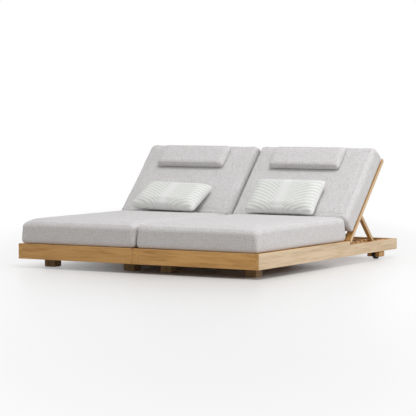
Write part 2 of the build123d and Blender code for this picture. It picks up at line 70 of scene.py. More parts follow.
# Box cushions. Of each kind: the voxel it is meshed with, how far it may swell, the heights of
# its seams as shares of its own, the fill of its corners and of its upper rim, how far its
# outer side and its upper or rear end stand out, and the cushion it meets at the fold.
cushion_kinds = {
    "seat": dict(
        voxel=0.011,
        cap=0.022,
        seams=(0.05, 0.86),
        fill=(0.014, 0.010),
        stands=(0.006, 0.007),
        meets="back",
    ),
    "back": dict(
        voxel=0.011,
        cap=0.022,
        seams=(0.06, 0.88),
        fill=(0.034, 0.011),
        stands=(0.014, 0.006),
        meets="seat",
    ),
    "head": dict(voxel=0.006, cap=0.010, seams=(0.12, 0.80), fill=(0.004, 0.004)),
}
weld_gap = 1e-5
swell_frames = 20
swell_pressure = 4.0
smooth_rounds = 2
smooth_share = 0.5
start_draw = 0.006
proud_limit = 0.0025
sink_limit = 0.0020
ripple_height = 0.0011
ripple_scales = (6.0, 17.0)
seat_slump = 0.013
seat_slump_reach = 0.08
seat_slump_at_corner = 0.6
stand_reach = 0.12
fold_gap = 0.0008
fold_reach = 0.05
head_spread = (1.05, 0.92)
head_taper = 0.30
panel_seam_depth = 0.0012
panel_seam_reach = 0.006
no_seam = 1.0

# Throw pillows
pillow_size = (0.496, 0.300, 0.112)
pillow_cells = (100, 62)
pillow_corner = 0.026
pillow_bow = 0.008
pillow_flank = 0.092
pillow_flank_share = 0.86
pillow_cap = 0.006
pillow_sink = 0.008
pillow_proud = 0.004
pillow_least = 0.0004
pillow_spread = (1.085, 1.03)
pleat_pitch = 0.026
pleat_rise = 0.10
pleat_bend = 0.085
pleat_slope = 0.14
pleat_clear = (0.006, 0.045)
pleat_depth = 0.0036
pleat_sharpness = 1.5
pleat_edge = 0.012
pillow_places = {
    "right": dict(lean=0.0, roll=0.0, shift=-0.010),
    "left": dict(lean=radians(16.5), roll=radians(-2.5), shift=0.0),
}


# Shader helpers

# The part of a noise's range that is stretched from none to all
noise_span = (0.3, 0.7)
cloth_span = (0.35, 0.65)


def fresh_material(name):
    """A new node material, with its tree and its Principled shader."""
    material = bpy.data.materials.new(name)
    material.use_nodes = True
    return material, material.node_tree, material.node_tree.nodes["Principled BSDF"]


def node(tree, kind, inputs=None, **settings):
    """A shader node with its settings made and its inputs set or linked."""
    made = tree.nodes.new("ShaderNode" + kind)
    for key, value in settings.items():
        setattr(made, key, value)
    for key, value in (inputs or {}).items():
        if isinstance(value, bpy.types.NodeSocket):
            tree.links.new(value, made.inputs[key])
        else:
            made.inputs[key].default_value = value
    return made


def maths(tree, operation, first, second=0.0):
    """The output of one Math node."""
    return node(tree, "Math", {0: first, 1: second}, operation=operation).outputs[0]


def blended(tree, share, first, second, blend_type="MIX"):
    """Two colours mixed by a share."""
    mix = node(tree, "Mix", data_type="RGBA", blend_type=blend_type)
    for index, value in ((0, share), (6, first), (7, second)):
        if isinstance(value, bpy.types.NodeSocket):
            tree.links.new(value, mix.inputs[index])
        else:
            mix.inputs[index].default_value = value
    return mix.outputs[2]


def ramp(tree, share, stops):
    """A colour ramp from (place, colour) stops."""
    made = node(tree, "ValToRGB", {"Fac": share})
    while len(made.color_ramp.elements) < len(stops):
        made.color_ramp.elements.new(0.5)
    for element, (place, colour) in zip(made.color_ramp.elements, stops):
        element.position = place
        element.color = (*colour, 1.0)
    return made.outputs["Color"]


def rescaled(tree, value, low, high, to_low=0.0, to_high=1.0):
    """A value mapped from one range to another and held inside it."""
    return node(
        tree,
        "MapRange",
        {"Value": value, "From Min": low, "From Max": high, "To Min": to_low, "To Max": to_high},
    ).outputs["Result"]


def noise_at(tree, place, scale, detail=3.0, roughness=0.55):
    """A noise texture's value at a place."""
    looks = {"Vector": place, "Scale": scale, "Detail": detail, "Roughness": roughness}
    return node(tree, "TexNoise", looks).outputs["Fac"]


def seen_rays(tree, *kinds):
    """One where a ray is of any of these kinds, and nothing elsewhere."""
    path = node(tree, "LightPath")
    seen = path.outputs[kinds[0]]
    for kind in kinds[1:]:
        seen = maths(tree, "MAXIMUM", seen, path.outputs[kind])
    return seen


def stretched(tree, place, shares):
    """A place scaled along each axis, so that a pattern read there runs long along one."""
    return node(tree, "VectorMath", {0: place, 1: shares}, operation="MULTIPLY").outputs["Vector"]


def weighed(tree, parts):
    """The sum of (value, weight) pairs."""
    total = maths(tree, "MULTIPLY", *parts[0])
    for value, weight in parts[1:]:
        total = maths(tree, "ADD", total, maths(tree, "MULTIPLY", value, weight))
    return total


# Teak

teak_dark = (0.43, 0.215, 0.064)
teak_mid = (0.585, 0.315, 0.102)
teak_light = (0.67, 0.385, 0.138)
# Paler tone of worn arrises, also a painted highlight along them
teak_worn_highlight = (0.74, 0.54, 0.30)
# The paler, drier tone, also used as painted sheen on faces turned along X
teak_dried_sheen_dark = (0.58, 0.45, 0.295)
teak_dried_sheen_light = (0.76, 0.645, 0.485)
teak_pore = (0.30, 0.155, 0.055)
teak_sway_scale = 1.3
teak_sway = (0.0, 0.022, 0.022)
teak_band_stretch = (0.07, 1.0, 1.0)
teak_band_scale = 48.0
teak_fibre_stretch = (0.02, 1.0, 1.0)
teak_streak_scale = 330.0
teak_pore_scale = 1150.0
teak_pore_span = (0.60, 0.70)
teak_pore_share = 0.35
teak_patch_scale = 6.0
teak_patch_tones = (0.87, 1.09)
teak_side_sheen_span = (0.4, 0.9)
teak_arris_span = (0.97, 0.80)
teak_rub_highlight_share = 0.45
teak_ridge_height = 0.5
teak_pore_depth = 0.6
teak_relief = 0.0006
teak_roughness = (0.36, 0.52)
grain_turns = {
    "across": (0.0, 0.0, 0.0),
    "along": (0.0, 0.0, -pi / 2),
    "back": (-back_angle, 0.0, -pi / 2),
    "prop": (prop_lean, 0.0, -pi / 2),
    "up": (0.0, pi / 2, 0.0),
    "slats": (-back_angle, 0.0, 0.0),
}


def teak(name, grain, tone=1.0, dry_and_sheen=0.0, board_pitch=0.0, board_start=0.0):
    """Teak with its grain one way, paler by a share as painted sheen and a drier tone, a different
    plank every board_pitch.
    """
    material, tree, shader = fresh_material(name)
    coords = node(tree, "TexCoord")
    turned = node(
        tree, "Mapping", {"Vector": coords.outputs["Object"], "Rotation": grain_turns[grain]}
    ).outputs["Vector"]
    if board_pitch:
        split = node(tree, "SeparateXYZ", {"Vector": turned})
        along = maths(tree, "SUBTRACT", split.outputs["Y"], board_start)
        board = maths(tree, "FLOOR", maths(tree, "DIVIDE", along, board_pitch))
        plank = node(tree, "TexWhiteNoise", {"W": board}, noise_dimensions="1D")
        turned = node(
            tree, "VectorMath", {0: turned, 1: plank.outputs["Color"]}, operation="ADD"
        ).outputs["Vector"]

    # The grain wanders slowly across the board
    sway = node(tree, "TexNoise", {"Vector": turned, "Scale": teak_sway_scale, "Detail": 1.0})
    wander = node(
        tree,
        "VectorMath",
        {0: sway.outputs["Color"], 1: teak_sway, 2: turned},
        operation="MULTIPLY_ADD",
    ).outputs["Vector"]
    boards = stretched(tree, wander, teak_band_stretch)
    fibres = stretched(tree, wander, teak_fibre_stretch)

    bands = noise_at(tree, boards, teak_band_scale, 4.0, 0.6)
    streaks = noise_at(tree, fibres, teak_streak_scale, 3.0, 0.6)
    pores = rescaled(tree, noise_at(tree, fibres, teak_pore_scale, 1.0), *teak_pore_span)
    figure = weighed(tree, [(bands, 0.6), (streaks, 0.4)])
    wood = ramp(
        tree, figure, [(0.37, teak_dark), (0.47, teak_mid), (0.57, teak_light), (0.70, teak_mid)]
    )
    dried_and_sheen_wood = ramp(tree, figure, [(0.38, teak_dried_sheen_dark), (0.56, teak_dried_sheen_light)])
    dim, bright = (share * tone for share in teak_patch_tones)
    patch = noise_at(tree, boards, teak_patch_scale, 2.0)
    patches = rescaled(tree, patch, *noise_span, dim, bright)
    shade = node(tree, "CombineXYZ", {"X": patches, "Y": patches, "Z": patches})
    wood = blended(tree, 1.0, wood, shade.outputs["Vector"], "MULTIPLY")
    wood = blended(tree, maths(tree, "MULTIPLY", pores, teak_pore_share), wood, (*teak_pore, 1.0))

    # Faces turned along X get the paler, drier tone as painted sheen, slat rails get it evenly,
    # and arrises are paler, as wear and as a painted highlight
    facing = node(
        tree, "VectorMath", {0: coords.outputs["Normal"]}, operation="ABSOLUTE"
    ).outputs["Vector"]
    turn_away = node(tree, "SeparateXYZ", {"Vector": facing})
    largest = maths(tree, "MAXIMUM", turn_away.outputs["X"], turn_away.outputs["Y"])
    largest = maths(tree, "MAXIMUM", largest, turn_away.outputs["Z"])
    # Painted sheen: faces turned along X are paled by the share, slat rails evenly
    painted_side_sheen = rescaled(tree, turn_away.outputs["X"], *teak_side_sheen_span, 0.0, dry_and_sheen)
    wood = blended(tree, dry_and_sheen if grain == "slats" else painted_side_sheen, wood, dried_and_sheen_wood)
    if grain in ("across", "along", "up"):
        # Worn arrises are paled, also as a painted highlight
        rubbed_highlight = rescaled(tree, largest, *teak_arris_span, 0.0, teak_rub_highlight_share)
        wood = blended(tree, rubbed_highlight, wood, (*teak_worn_highlight, 1.0))

    ridges = maths(tree, "MULTIPLY", streaks, teak_ridge_height)
    height = maths(tree, "SUBTRACT", ridges, maths(tree, "MULTIPLY", pores, teak_pore_depth))
    bump = node(tree, "Bump", {"Height": height, "Strength": 0.35, "Distance": teak_relief})
    roughness = rescaled(tree, streaks, *noise_span, *teak_roughness)
    tree.links.new(wood, shader.inputs["Base Color"])
    tree.links.new(roughness, shader.inputs["Roughness"])
    tree.links.new(bump.outputs["Normal"], shader.inputs["Normal"])
    shader.inputs["Specular IOR Level"].default_value = 0.3
    shader.inputs["Coat Weight"].default_value = 0.04
    shader.inputs["Coat Roughness"].default_value = 0.35
    return material


# Cloths

tweed_pale = (0.745, 0.735, 0.74)
tweed_mid = (0.645, 0.63, 0.63)
tweed_dark = (0.47, 0.425, 0.40)
tweed_thread = 0.0024
tweed_yarn_scale = 420.0
tweed_slub_scale = 150.0
tweed_mottle_scale = 120.0
tweed_drift_scale = 9.0
tweed_drift_share = 0.16
tweed_gap_reach = 0.45
tweed_gap_shade = 0.35
tweed_relief = 0.0007
yarn_stretch = 0.12
seam_thread = 0.0011
seam_shade = 0.5
seam_cut = 3.0
pillow_white = (0.80, 0.805, 0.79)
# Tone painted as shade down in the pleats, and the darker tone of the random mottle
pillow_shade = (0.56, 0.58, 0.535)
pillow_thread = 0.0016
pillow_mottle_scale = 260.0
pillow_mottle_share = 0.12
pillow_relief = 0.0004


def woven_height(tree, weave, pitch):
    """The rise and fall of a plain weave of one thread pitch over a UV map in metres."""
    split = node(tree, "SeparateXYZ", {"Vector": weave})
    over = node(tree, "TexChecker", {"Vector": weave, "Scale": 1.0 / pitch}).outputs["Fac"]
    rises = []
    for axis in ("X", "Y"):
        turn = maths(tree, "MULTIPLY", split.outputs[axis], pi / pitch)
        rises.append(maths(tree, "ABSOLUTE", maths(tree, "SINE", turn)))
    mix = node(tree, "Mix", {0: over, 2: rises[0], 3: rises[1]}, data_type="FLOAT")
    return mix.outputs[0]


def tweed(name):
    """Light grey tweed: a plain weave of flecked yarns, with soft mottling and panel seams."""
    material, tree, shader = fresh_material(name)
    coords = node(tree, "TexCoord").outputs["Object"]
    weave = node(tree, "UVMap", uv_map="weave").outputs["UV"]
    rise = woven_height(tree, weave, tweed_thread)
    warp_run = stretched(tree, weave, (1.0, yarn_stretch, 1.0))
    weft_run = stretched(tree, weave, (yarn_stretch, 1.0, 1.0))
    warp_yarn = noise_at(tree, warp_run, tweed_yarn_scale, 2.0)
    weft_yarn = noise_at(tree, weft_run, tweed_yarn_scale, 2.0)
    warp_slub = noise_at(tree, warp_run, tweed_slub_scale, 2.0)
    weft_slub = noise_at(tree, weft_run, tweed_slub_scale, 2.0)
    mottle = noise_at(tree, coords, tweed_mottle_scale, 4.0, 0.68)
    yarns = [(warp_yarn, 0.15), (weft_yarn, 0.15)]
    slubs = [(warp_slub, 0.17), (weft_slub, 0.17)]
    fleck = weighed(tree, [*yarns, (mottle, 0.36), *slubs])
    cloth = ramp(tree, fleck, [(0.375, tweed_dark), (0.475, tweed_mid), (0.57, tweed_pale)])
    drift = noise_at(tree, coords, tweed_drift_scale, 2.0)
    drift = rescaled(tree, drift, *cloth_span, 0.0, tweed_drift_share)
    cloth = blended(tree, drift, cloth, (*tweed_mid, 1.0))
    gaps = rescaled(tree, rise, 0.0, tweed_gap_reach, tweed_gap_shade, 0.0)
    cloth = blended(tree, gaps, cloth, (*tweed_dark, 1.0))

    # The seam between a panel and its boxing is a thin dark line
    seam_gap = node(tree, "Attribute", attribute_name="seam").outputs["Fac"]
    seam = rescaled(tree, maths(tree, "ABSOLUTE", seam_gap), seam_thread, 0.0, 0.0, 1.0)
    cloth = blended(tree, maths(tree, "MULTIPLY", seam, seam_shade), cloth, (*tweed_dark, 1.0))
    height = maths(tree, "SUBTRACT", rise, maths(tree, "MULTIPLY", seam, seam_cut))
    bump = node(tree, "Bump", {"Height": height, "Strength": 0.6, "Distance": tweed_relief})
    tree.links.new(cloth, shader.inputs["Base Color"])
    tree.links.new(bump.outputs["Normal"], shader.inputs["Normal"])
    shader.inputs["Roughness"].default_value = 0.9
    shader.inputs["Specular IOR Level"].default_value = 0.2
    shader.inputs["Sheen Weight"].default_value = 0.15
    shader.inputs["Sheen Roughness"].default_value = 0.5
    return material


def pillow_cloth(name):
    """Off-white ribbed cotton, with painted shade, darker and greener, down in its pleats."""
    material, tree, shader = fresh_material(name)
    weave = node(tree, "UVMap", uv_map="weave").outputs["UV"]
    rise = woven_height(tree, weave, pillow_thread)
    # Painted shade: the pleat depth darkens the cloth down in the pleats
    fold = node(tree, "Attribute", attribute_name="pleat").outputs["Fac"]
    cloth = blended(tree, fold, (*pillow_white, 1.0), (*pillow_shade, 1.0))
    mottle = noise_at(tree, weave, pillow_mottle_scale, 3.0)
    mottle = rescaled(tree, mottle, *cloth_span, 0.0, pillow_mottle_share)
    cloth = blended(tree, mottle, cloth, (*pillow_shade, 1.0))
    bump = node(tree, "Bump", {"Height": rise, "Strength": 0.4, "Distance": pillow_relief})
    tree.links.new(cloth, shader.inputs["Base Color"])
    tree.links.new(bump.outputs["Normal"], shader.inputs["Normal"])
    shader.inputs["Roughness"].default_value = 0.85
    shader.inputs["Specular IOR Level"].default_value = 0.2
    shader.inputs["Sheen Weight"].default_value = 0.2
    return material


# Wheels, glides and hardware

hub_share = 0.37
hub_edge = 0.0005
hub_black = (0.025, 0.025, 0.027, 1.0)
hub_roughness = 0.38
tread_black = (0.012, 0.012, 0.013, 1.0)
tread_scuffed = (0.07, 0.068, 0.065, 1.0)
tread_scuff_scale = 300.0
tread_scuff_span = (0.5, 0.75)
tread_scuff_share = 0.35
tread_roughness = 0.72
wheel_pit_scale = 900.0
wheel_relief = 0.0003
glide_black = (0.018, 0.018, 0.018, 1.0)
glide_worn = (0.05, 0.05, 0.048, 1.0)
glide_grain_scale = 700.0
glide_grain_span = (0.4, 0.7)
glide_relief = 0.0003
steel_dull = (0.50, 0.50, 0.49, 1.0)
steel_bright = (0.64, 0.64, 0.63, 1.0)
steel_brush_stretch = (0.04, 1.0, 1.0)
steel_brush_scale = 2200.0
steel_patch_scale = 60.0
steel_relief = 0.0002
steel_roughness = (0.24, 0.42)


def wheel_finish(name, wheel):
    """A black rubber tread round a harder hub, told apart by the distance from the axle."""
    material, tree, shader = fresh_material(name)
    low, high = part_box(wheel)
    middle = (low + high) / 2
    coords = node(tree, "TexCoord").outputs["Object"]
    hub_reach = (high.z - low.z) * hub_share
    arm = node(tree, "VectorMath", {0: coords, 1: middle}, operation="SUBTRACT").outputs["Vector"]
    spread = stretched(tree, arm, (0.0, 1.0, 1.0))
    reach = node(tree, "VectorMath", {0: spread}, operation="LENGTH").outputs["Value"]
    tread = rescaled(tree, reach, hub_reach - hub_edge, hub_reach + hub_edge)
    scuffs = noise_at(tree, coords, tread_scuff_scale, 4.0, 0.7)
    scuffs = rescaled(tree, scuffs, *tread_scuff_span, 0.0, tread_scuff_share)
    rubber = blended(tree, scuffs, tread_black, tread_scuffed)
    colour = blended(tree, tread, hub_black, rubber)
    pits = noise_at(tree, coords, wheel_pit_scale, 2.0)
    bump = node(tree, "Bump", {"Height": pits, "Strength": 0.3, "Distance": wheel_relief})
    roughness = rescaled(tree, tread, 0.0, 1.0, hub_roughness, tread_roughness)
    tree.links.new(colour, shader.inputs["Base Color"])
    tree.links.new(roughness, shader.inputs["Roughness"])
    tree.links.new(bump.outputs["Normal"], shader.inputs["Normal"])
    return material


def glide_finish(name):
    """Moulded black plastic with a fine grain."""
    material, tree, shader = fresh_material(name)
    coords = node(tree, "TexCoord").outputs["Object"]
    grain = noise_at(tree, coords, glide_grain_scale, 3.0)
    worn = rescaled(tree, grain, *glide_grain_span)
    colour = blended(tree, worn, glide_black, glide_worn)
    bump = node(tree, "Bump", {"Height": grain, "Strength": 0.4, "Distance": glide_relief})
    tree.links.new(colour, shader.inputs["Base Color"])
    tree.links.new(bump.outputs["Normal"], shader.inputs["Normal"])
    shader.inputs["Roughness"].default_value = 0.6
    return material


def steel_finish(name):
    """Stainless steel brushed along X, with faint dull patches."""
    material, tree, shader = fresh_material(name)
    coords = node(tree, "TexCoord").outputs["Object"]
    brushed = stretched(tree, coords, steel_brush_stretch)
    lines = noise_at(tree, brushed, steel_brush_scale, 2.0)
    bright = rescaled(tree, noise_at(tree, coords, steel_patch_scale, 2.0), *noise_span)
    colour = blended(tree, bright, steel_dull, steel_bright)
    bump = node(tree, "Bump", {"Height": lines, "Strength": 0.25, "Distance": steel_relief})
    roughness = rescaled(tree, lines, *noise_span, *steel_roughness)
    tree.links.new(colour, shader.inputs["Base Color"])
    tree.links.new(roughness, shader.inputs["Roughness"])
    tree.links.new(bump.outputs["Normal"], shader.inputs["Normal"])
    shader.inputs["Metallic"].default_value = 1.0
    return material


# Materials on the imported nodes

def paint(node_name, material):
    """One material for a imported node."""
    for place in frame["nodes"][node_name].material_slots:
        place.material = material


def finish_frame():
    """Every timber, wheel, glide and fitting gets its material."""
    # Of each timber: its grain, tone, share of the paler tone (painted sheen on faces turned along
    # X), and the pitch and start of its boards
    timbers = {
        "outer_side_rail": ("along", 1.0, 0.70),
        "inner_side_rail": ("along", 0.98, 0.45),
        "front_rail": ("across", 1.0),
        "rear_rail": ("across", 1.02, 0.40),
        "hinge_rail": ("across", 0.97),
        "foot_bearer": ("across", 0.95),
        "wheel_bearer": ("across", 1.0),
        # The feet's low tone is painted shade, for the shade under the frame
        "front_feet": ("up", 0.50),
        "seat_ledges": ("along", 0.96),
        "seat_runner": ("along", 0.98),
        "seat_slats": ("across", 1.0, 0.0, seat_slat_pitch, seat_slat_start),
        "prop_racks": ("along", 1.0, 0.20),
        "wheel_cheeks": ("along", 0.92),
        "back_stiles": ("back", 0.92, 0.55),
        "back_bottom_rail": ("slats", 1.0, 0.25),
        "back_top_rail": ("slats", 1.0, 0.45),
        "back_slats": ("back", 1.0, 0.30, back_slat_pitch),
        "prop_legs": ("prop", 0.88, 0.45),
        "prop_bar": ("across", 1.0, 0.20),
    }
    steel = steel_finish("brushed_steel")
    for side in ("right", "left"):
        for timber, look in timbers.items():
            name = f"{timber}_{side}"
            paint(name, teak(f"teak_{name}", *look))
        for place in ("outer", "inner"):
            wheel = f"{place}_wheel_{side}"
            paint(wheel, wheel_finish(f"black_{wheel}", wheel))
        for fitting in ("fixed_hinge_leaves", "moving_hinge_leaves", "prop_pins"):
            paint(f"{fitting}_{side}", steel)
    for fitting in ("hinge_pins", "wheel_axles", "joining_bolts"):
        paint(fitting, steel)
    paint("foot_glides", glide_finish("black_glide"))


# Cushions

def back_frame():
    """The axes of the back's face: X across, Y up the slope, Z out of the face."""
    return Matrix.Translation(Vector((0.0, fold_y, deck_z))) @ Matrix.Rotation(back_angle, 4, "X")


def node_shell(node_name, axes):
    """A node's solid as one merged mesh, in the given axes."""
    mesh = frame["nodes"][node_name].data.copy()
    mesh.transform(axes.inverted())
    shell = bmesh.new()
    shell.from_mesh(mesh)
    bmesh.ops.remove_doubles(shell, verts=shell.verts, dist=weld_gap)
    shell.to_mesh(mesh)
    shell.free()
    return mesh


def limits(mesh):
    """Lowest and highest corner of a mesh."""
    places = [v.co for v in mesh.vertices]
    low = Vector([min(p[i] for p in places) for i in range(3)])
    high = Vector([max(p[i] for p in places) for i in range(3)])
    return low, high


def baked(piece, name):
    """A piece's mesh with its modifiers applied, and the modifiers gone."""
    graph = bpy.context.evaluated_depsgraph_get()
    mesh = bpy.data.meshes.new_from_object(piece.evaluated_get(graph))
    mesh.name = name
    piece.modifiers.clear()
    piece.data = mesh
    return mesh


def swell(piece, cap, held):
    """Air the piece up as cloth, no point moving more than cap, with the held points pinned."""
    start = [v.co.copy() for v in piece.data.vertices]
    grip = piece.vertex_groups.new(name="held")
    grip.add(held, 1.0, "REPLACE")
    air = piece.modifiers.new("swell", "CLOTH")
    settings = air.settings
    settings.quality = 4
    settings.mass = 0.25
    settings.use_pressure = True
    settings.uniform_pressure_force = swell_pressure
    settings.tension_stiffness = 25.0
    settings.compression_stiffness = 25.0
    settings.shear_stiffness = 8.0
    settings.bending_stiffness = 2.0
    settings.effector_weights.gravity = 0.0
    settings.vertex_group_mass = "held"
    air.collision_settings.use_collision = False
    air.point_cache.frame_start = 1
    air.point_cache.frame_end = swell_frames
    for step in range(1, swell_frames + 1):
        bpy.context.scene.frame_set(step)
    mesh = baked(piece, piece.data.name)
    bpy.context.scene.frame_set(1)
    for vertex, before in zip(mesh.vertices, start):
        move = vertex.co - before
        if move.length > cap:
            vertex.co = before + move.normalized() * cap
    piece.vertex_groups.clear()


def surface_of(mesh):
    """A mesh's surface, to measure from."""
    places = [v.co for v in mesh.vertices]
    return BVHTree.FromPolygons(places, [f.vertices[:] for f in mesh.polygons])


def kept_close(mesh, surface, low, high, sink, proud):
    """Hold each point near the solid's own surface, and inside its box."""
    for vertex in mesh.vertices:
        near, normal, _, _ = surface.find_nearest(vertex.co)
        gap = (vertex.co - near).dot(normal)
        place = vertex.co + normal * (min(max(gap, -sink), proud) - gap)
        vertex.co = [min(max(place[i], low[i]), high[i]) for i in range(3)]


def relaxed(mesh):
    """Smooth a mesh a little, to lose the steps that the voxels left."""
    shell = bmesh.new()
    shell.from_mesh(mesh)
    for _ in range(smooth_rounds):
        bmesh.ops.smooth_vert(
            shell,
            verts=shell.verts,
            factor=smooth_share,
            use_axis_x=True,
            use_axis_y=True,
            use_axis_z=True,
        )
    shell.to_mesh(mesh)
    shell.free()


def panel_weave(mesh):
    """A UV map in metres that follows each panel of a box cushion."""
    layer = mesh.uv_layers.new(name="weave")
    for face in mesh.polygons:
        normal = [abs(n) for n in face.normal]
        facing = normal.index(max(normal))
        first, second = [i for i in range(3) if i != facing]
        for loop in face.loop_indices:
            place = mesh.vertices[mesh.loops[loop].vertex_index].co
            layer.data[loop].uv = (place[first], place[second])


def box_seams(mesh, seam_heights):
    """Sink the two seams of a box cushion's walls, and keep each point's distance from them."""
    gaps = mesh.attributes.new("seam", "FLOAT", "POINT")
    normals = [v.normal.copy() for v in mesh.vertices]
    for vertex, normal in zip(mesh.vertices, normals):
        gap = min((vertex.co.z - height for height in seam_heights), key=abs)
        wall_share = max(0.0, 1.0 - abs(normal.z) ** 2)
        gaps.data[vertex.index].value = gap if wall_share > 0.1 else no_seam
        sink = panel_seam_depth * wall_share * exp(-((gap / panel_seam_reach) ** 2))
        vertex.co -= normal * sink


def filled_edges(mesh, corner_fill, rim_fill):
    """Press the stuffing out into the upright corners and the upper rim of a cover."""
    normals = [v.normal.copy() for v in mesh.vertices]
    for vertex, normal in zip(mesh.vertices, normals):
        corner = max(abs(normal.x) + abs(normal.y) - 1.0, 0.0)
        rim = max((normal.x**2 + normal.y**2) ** 0.5 + max(normal.z, 0.0) - 1.0, 0.0)
        vertex.co += normal * (corner_fill * corner + rim_fill * rim)


def slumped(mesh, low, high, outer_end):
    """Let the upper front rim of a seat cushion sink a little, most at its outer corner."""
    for vertex in mesh.vertices:
        front = exp(-(((vertex.co.y - low.y) / seat_slump_reach) ** 2))
        corner = exp(-(((vertex.co.x - outer_end) / seat_slump_reach) ** 2))
        height = (vertex.co.z - low.z) / (high.z - low.z)
        vertex.co.z -= seat_slump * front * (1.0 + seat_slump_at_corner * corner) * height


def stood_out(mesh, axis, end, stand):
    """Let one end of a cover stand further out, less and less over a reach inward."""
    for vertex in mesh.vertices:
        share = max(0.0, 1.0 - abs(end - vertex.co[axis]) / stand_reach)
        vertex.co[axis] += stand * share


def kept_clear(mesh, neighbour, gap):
    """Draw a cover back from a neighbour's solid wherever it comes nearer than a gap."""
    for vertex in mesh.vertices:
        near, normal, _, distance = neighbour.find_nearest(vertex.co)
        away = vertex.co - near
        depth = away.dot(normal)
        if depth < 0.0 and distance < fold_reach:
            vertex.co = near + normal * gap
        elif distance < gap:
            vertex.co = near + away.normalized() * gap


def ripples(mesh, axes):
    """Slow, shallow unevenness all over a cover, as stuffed cloth has."""
    slow, quick = ripple_scales
    normals = [v.normal.copy() for v in mesh.vertices]
    for vertex, normal in zip(mesh.vertices, normals):
        place = axes @ vertex.co
        swing = noise.noise(place * slow) + 0.5 * noise.noise(place * quick)
        vertex.co += normal * swing * ripple_height


def cloth_piece(name, mesh, axes, material, body, replaced):
    mesh.transform(axes)
    mesh.materials.clear()
    mesh.materials.append(material)
    for face in mesh.polygons:
        face.use_smooth = True
    piece = bpy.data.objects.new(name, mesh)
    bpy.context.scene.collection.objects.link(piece)
    fine = piece.modifiers.new("finer", "SUBSURF")
    fine.levels = 1
    fine.render_levels = 1
    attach(piece, body)
    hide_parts(replaced)


def kept_in(mesh, low, high):
    """Hold each point of a mesh inside a box."""
    for vertex in mesh.vertices:
        vertex.co = [min(max(vertex.co[i], low[i]), high[i]) for i in range(3)]


def tapered(mesh, low, high):
    """Thin a head cushion towards its upper end, lengthen it and shorten it up the slope."""
    middle = (low + high) / 2
    for vertex in mesh.vertices:
        span = max(vertex.co.y - middle.y, 0.0) / (high.y - middle.y)
        vertex.co.z = low.z + (vertex.co.z - low.z) * (1.0 - head_taper * span**2)
        vertex.co.x = middle.x + (vertex.co.x - middle.x) * head_spread[0]
        vertex.co.y = middle.y + (vertex.co.y - middle.y) * head_spread[1]


def aired_up(node_name, mesh, low, high, kind):
    """A cushion's solid drawn in a little, meshed evenly and swollen as cloth."""
    middle = (low + high) / 2
    for vertex in mesh.vertices:
        for i in range(3):
            draw = 1.0 - start_draw / (high[i] - low[i])
            vertex.co[i] = middle[i] + (vertex.co[i] - middle[i]) * draw
    piece = bpy.data.objects.new(node_name + "_swelling", mesh)
    bpy.context.scene.collection.objects.link(piece)
    even = piece.modifiers.new("even", "REMESH")
    even.mode = "VOXEL"
    even.voxel_size = kind["voxel"]
    mesh = baked(piece, node_name + "_cloth")
    held = [v.index for v in mesh.vertices if v.co.z < low.z + kind["voxel"]]
    swell(piece, kind["cap"], held)
    mesh = piece.data
    bpy.data.objects.remove(piece)
    return mesh


def box_cushion(kind_name, side, body, axes, material):
    """A boxed cushion's cover, held close to its solid's form and clear of its neighbour."""
    kind = cushion_kinds[kind_name]
    node_name = f"{kind_name}_cushion_{side}"
    mesh = node_shell(node_name, axes)
    low, high = limits(mesh)
    surface = surface_of(mesh)
    mesh = aired_up(node_name, mesh, low, high, kind)
    kept_close(mesh, surface, low, high, sink_limit, proud_limit)
    relaxed(mesh)
    kept_close(mesh, surface, low, high, sink_limit, proud_limit)
    ripples(mesh, axes)
    mesh.update()
    filled_edges(mesh, *kind["fill"])
    outer_end, outward = (high.x, 1.0) if side == "right" else (low.x, -1.0)
    if kind_name == "seat":
        slumped(mesh, low, high, outer_end)
    kept_in(mesh, low, high)
    if kind_name == "head":
        tapered(mesh, low, high)
    else:
        side_stand, end_stand = kind["stands"]
        stood_out(mesh, 0, outer_end, outward * side_stand)
        stood_out(mesh, 1, high.y, end_stand)
        neighbour = node_shell(f"{kind['meets']}_cushion_{side}", axes)
        kept_clear(mesh, surface_of(neighbour), fold_gap)
    panel_weave(mesh)
    box_seams(mesh, [low.z + (high.z - low.z) * share for share in kind["seams"]])
    cloth_piece(
        node_name + "_cover", mesh, axes, material, body, node_name
    )


def pillow_frame(side):
    """A pillow's own axes, centred on its solid."""
    low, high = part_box(f"throw_pillow_{side}")
    centre = Matrix.Translation((low + high) / 2)
    tilt = Matrix.Rotation(back_angle - pillow_places[side]["lean"], 4, "X")
    return centre @ tilt @ Matrix.Rotation(pillow_places[side]["roll"], 4, "Z")


def pleat(across, along):
    """How deep a pleat is: pleats leave the pillow's middle as the veins of a leaf do."""
    reach = abs(across)
    vein = along - pleat_rise * (1.0 - exp(-reach / pleat_bend)) - pleat_slope * reach
    wave = 1.0 - abs(sin(pi * vein / pleat_pitch))
    clear_from, clear_to = pleat_clear
    away = min(max((reach - clear_from) / (clear_to - clear_from), 0.0), 1.0)
    return wave**pleat_sharpness * away


def seam_point(u, v):
    """Where a point of the unit square lies on the pillow: rounded corners, sides drawn in."""
    half_x, half_y = pillow_size[0] / 2, pillow_size[1] / 2
    ring = max(abs(u), abs(v))
    if ring == 0.0:
        return 0.0, 0.0
    edge_x, edge_y = u / ring * half_x, v / ring * half_y
    centre_x, centre_y = half_x - pillow_corner, half_y - pillow_corner
    share = 1.0
    if abs(edge_x) > centre_x and abs(edge_y) > centre_y:
        span = (edge_x**2 + edge_y**2) ** 0.5
        toward = (abs(edge_x) * centre_x + abs(edge_y) * centre_y) / span
        spread = centre_x**2 + centre_y**2 - toward**2
        share = (toward + max(pillow_corner**2 - spread, 0.0) ** 0.5) / span
    pull_x = pillow_bow * (1.0 - min(1.0, v * v)) * u * abs(u)
    pull_y = pillow_bow * (1.0 - min(1.0, u * u)) * v * abs(v)
    rounding = 1.0 + (share - 1.0) * ring**6
    return u * half_x * rounding - pull_x, v * half_y * rounding - pull_y


